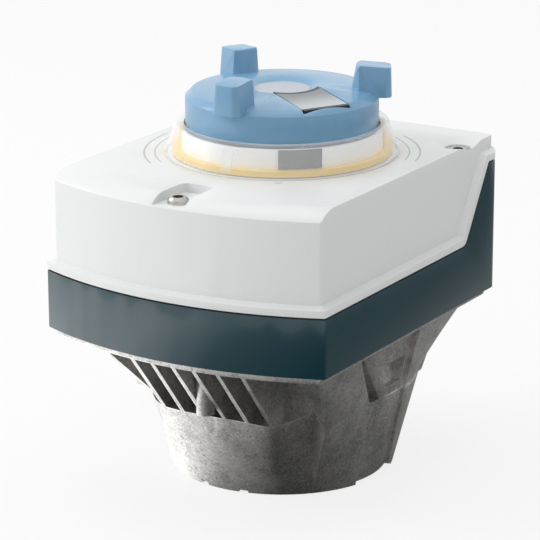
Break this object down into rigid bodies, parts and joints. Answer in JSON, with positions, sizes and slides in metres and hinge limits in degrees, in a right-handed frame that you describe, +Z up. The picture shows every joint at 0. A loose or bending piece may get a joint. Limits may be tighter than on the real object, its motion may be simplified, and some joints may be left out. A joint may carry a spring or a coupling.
{
  "type": "rotary valve actuator",
  "caption": "Electric part-turn valve actuator: finned die-cast mount, petrol base, off-white cover, position drum under a clear window and a blue hand wheel.",
  "frame": {"origin": "centre of the valve flange's bottom face, on the output shaft's axis", "axes": "+Z up along the output shaft to the hand wheel, -Y to the bowed front, +X to the right seen from the front"},
  "size_m": [0.124, 0.1551, 0.1619],
  "materials": {
    "casting": "sand-cast, as cast",
    "housing_paint": "glossy petrol enamel",
    "cover_plastic": "satin off-white moulding",
    "seal": "black seal",
    "zinc": "zinc plated",
    "steel": "turned steel",
    "spring_steel": "drawn wire",
    "window": "clear moulding",
    "drum_white": "off-white moulding",
    "yellow": "yellow moulding",
    "field_grey": "dark grey moulding",
    "wheel_blue": "satin light blue moulding",
    "disc_grey": "pale grey moulding",
    "strip_grey": "grey moulding",
    "bronze": "sintered bush",
    "gear_plastic": "natural moulding",
    "gear_brass": "milled",
    "motor_shell": "drawn can",
    "board": "green laminate",
    "component": "moulded",
    "terminal": "moulded",
    "plug": "black moulding"
  },
  "bodies": {
    "housing": {"mount_bracket": "casting", "base_housing": "housing_paint", "top_cover": "cover_plastic", "cover_gasket": "seal", "cover_screws": "zinc", "bracket_screws": "zinc", "window_ring": "window", "return_spring": "spring_steel", "stem_guide": "gear_plastic", "lower_gear_plate": "steel", "upper_gear_plate": "steel", "plate_pillars": "zinc", "plate_screws": "zinc", "lower_bush": "bronze", "upper_bush": "bronze", "idler_axle": "zinc", "motor_housing": "motor_shell", "board_standoffs": "zinc", "circuit_board": "board", "terminal_block": "terminal", "relays": "component", "capacitor": "component", "left_plug": "plug", "middle_plug": "plug", "right_plug": "plug"},
    "output": {"output_shaft": "steel", "coupling_insert": "steel", "retaining_ring": "spring_steel", "output_gear": "steel"},
    "indicator": {"indicator_drum": "drum_white", "indicator_ring": "yellow", "indicator_field": "field_grey"},
    "stage_a": {"stage_a_gear": "steel"},
    "stage_b": {"stage_b_gear": "gear_brass"},
    "motor": {"motor_rotor": "gear_brass"},
    "idler": {"idler_gear": "gear_plastic"},
    "push": {"thrust_collar": "bronze"},
    "hand": {"hand_wheel": "wheel_blue", "hand_wheel_disc": "disc_grey", "hand_wheel_plate": "strip_grey", "hand_wheel_shaft": "steel"}
  },
  "joints": [
    {"name": "output_turn", "type": "hinge", "parent": "housing", "child": "output", "pos_m": [0, 0, 0.04], "axis": [0, 0, 1], "range_deg": [0, 90]},
    {"name": "indicator_turn", "type": "hinge", "parent": "housing", "child": "indicator", "pos_m": [0, 0, 0.119], "axis": [0, 0, 1], "range_deg": [0, 90]},
    {"name": "stage_a_turn", "type": "hinge", "parent": "housing", "child": "stage_a", "pos_m": [0.02344, -0.04059, 0.08], "axis": [0, 0, 1], "range_deg": [-472.5, 0]},
    {"name": "stage_b_turn", "type": "hinge", "parent": "housing", "child": "stage_b", "pos_m": [-0.0002, -0.04476, 0.08], "axis": [0, 0, 1], "range_deg": [0, 1890]},
    {"name": "motor_turn", "type": "hinge", "parent": "housing", "child": "motor", "pos_m": [-0.01952, -0.04994, 0.08], "axis": [0, 0, 1], "range_deg": [-7560, 0]},
    {"name": "idler_turn", "type": "hinge", "parent": "housing", "child": "idler", "pos_m": [0.00589, -0.01743, 0.08], "axis": [0, 0, 1], "range_deg": [-2520, 0]},
    {"name": "hand_push", "type": "slide", "parent": "housing", "child": "push", "axis": [0, 0, -1], "range_m": [0, 0.005], "stiffness_N_per_m": 700, "springref_m": -0.003, "deforming": ["return_spring"]},
    {"name": "hand_turn", "type": "hinge", "parent": "push", "child": "hand", "pos_m": [0, 0, 0.145], "axis": [0, 0, 1], "continuous": true}
  ],
  "couplings": [
    {"joint": "indicator_turn", "follows": "output_turn", "ratio": 1},
    {"joint": "stage_a_turn", "follows": "output_turn", "ratio": -5.25},
    {"joint": "stage_b_turn", "follows": "output_turn", "ratio": 21},
    {"joint": "motor_turn", "follows": "output_turn", "ratio": -84},
    {"joint": "idler_turn", "follows": "output_turn", "ratio": -28}
  ]
}
